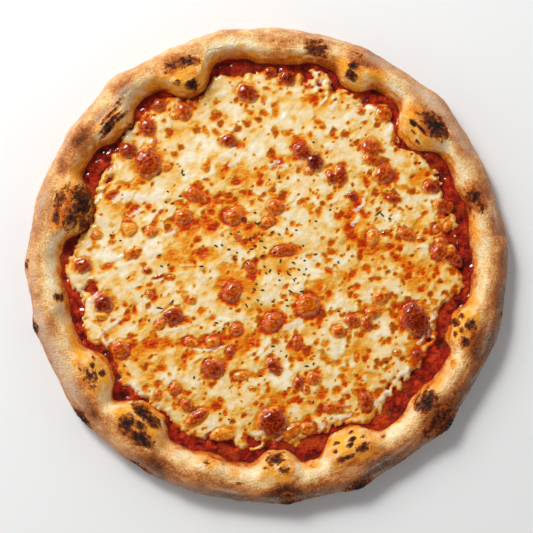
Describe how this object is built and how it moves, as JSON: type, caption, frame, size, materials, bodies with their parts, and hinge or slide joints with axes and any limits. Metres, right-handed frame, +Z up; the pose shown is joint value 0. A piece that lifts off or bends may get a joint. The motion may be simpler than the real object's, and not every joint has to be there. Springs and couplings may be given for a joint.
{
  "type": "margherita pizza",
  "caption": "Whole baked round margherita pizza with a puffed blistered rim, tomato sauce and browned melted cheese.",
  "frame": {"origin": "middle of the flat underside, on which the pizza rests", "axes": "+Z up out of the cheese, +Y towards the top of the pizza as shown, +X to its right"},
  "size_m": [0.3206, 0.318, 0.0218],
  "materials": {
    "crust": "baked wheat dough, floured and blistered",
    "tomato_sauce": "wet crushed tomato",
    "cheese": "melted low-moisture mozzarella, browned and oily",
    "dried_herb": "dried oregano and cracked pepper"
  },
  "bodies": {
    "root": {"crust": "crust", "tomato_sauce": "tomato_sauce", "cheese": "cheese"}
  },
  "joints": []
}
